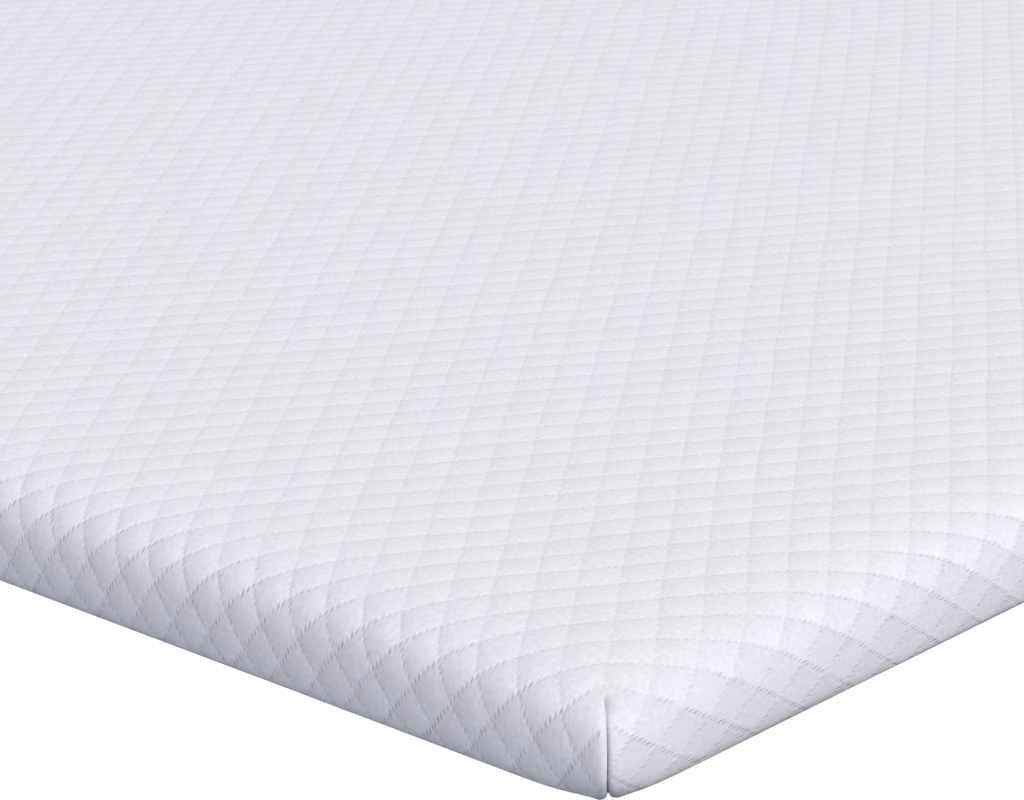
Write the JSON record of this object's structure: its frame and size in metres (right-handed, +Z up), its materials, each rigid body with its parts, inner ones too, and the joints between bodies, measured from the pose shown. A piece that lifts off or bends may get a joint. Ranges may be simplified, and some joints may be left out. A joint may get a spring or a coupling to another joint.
{
  "type": "mattress topper",
  "caption": "Flat filled mattress pad in a diamond-quilted knit cover, with rounded edges and an upright sewn dart at each corner.",
  "frame": {"origin": "under the middle of the pad, on the plane that it rests on", "axes": "+Z up, out of the top; +Y along the length, +X across the width"},
  "size_m": [1.4006, 2.0012, 0.05],
  "materials": {
    "quilted_knit": "white double knit, diamond-quilted, matt"
  },
  "bodies": {
    "root": {"topper": "quilted_knit"}
  },
  "joints": []
}
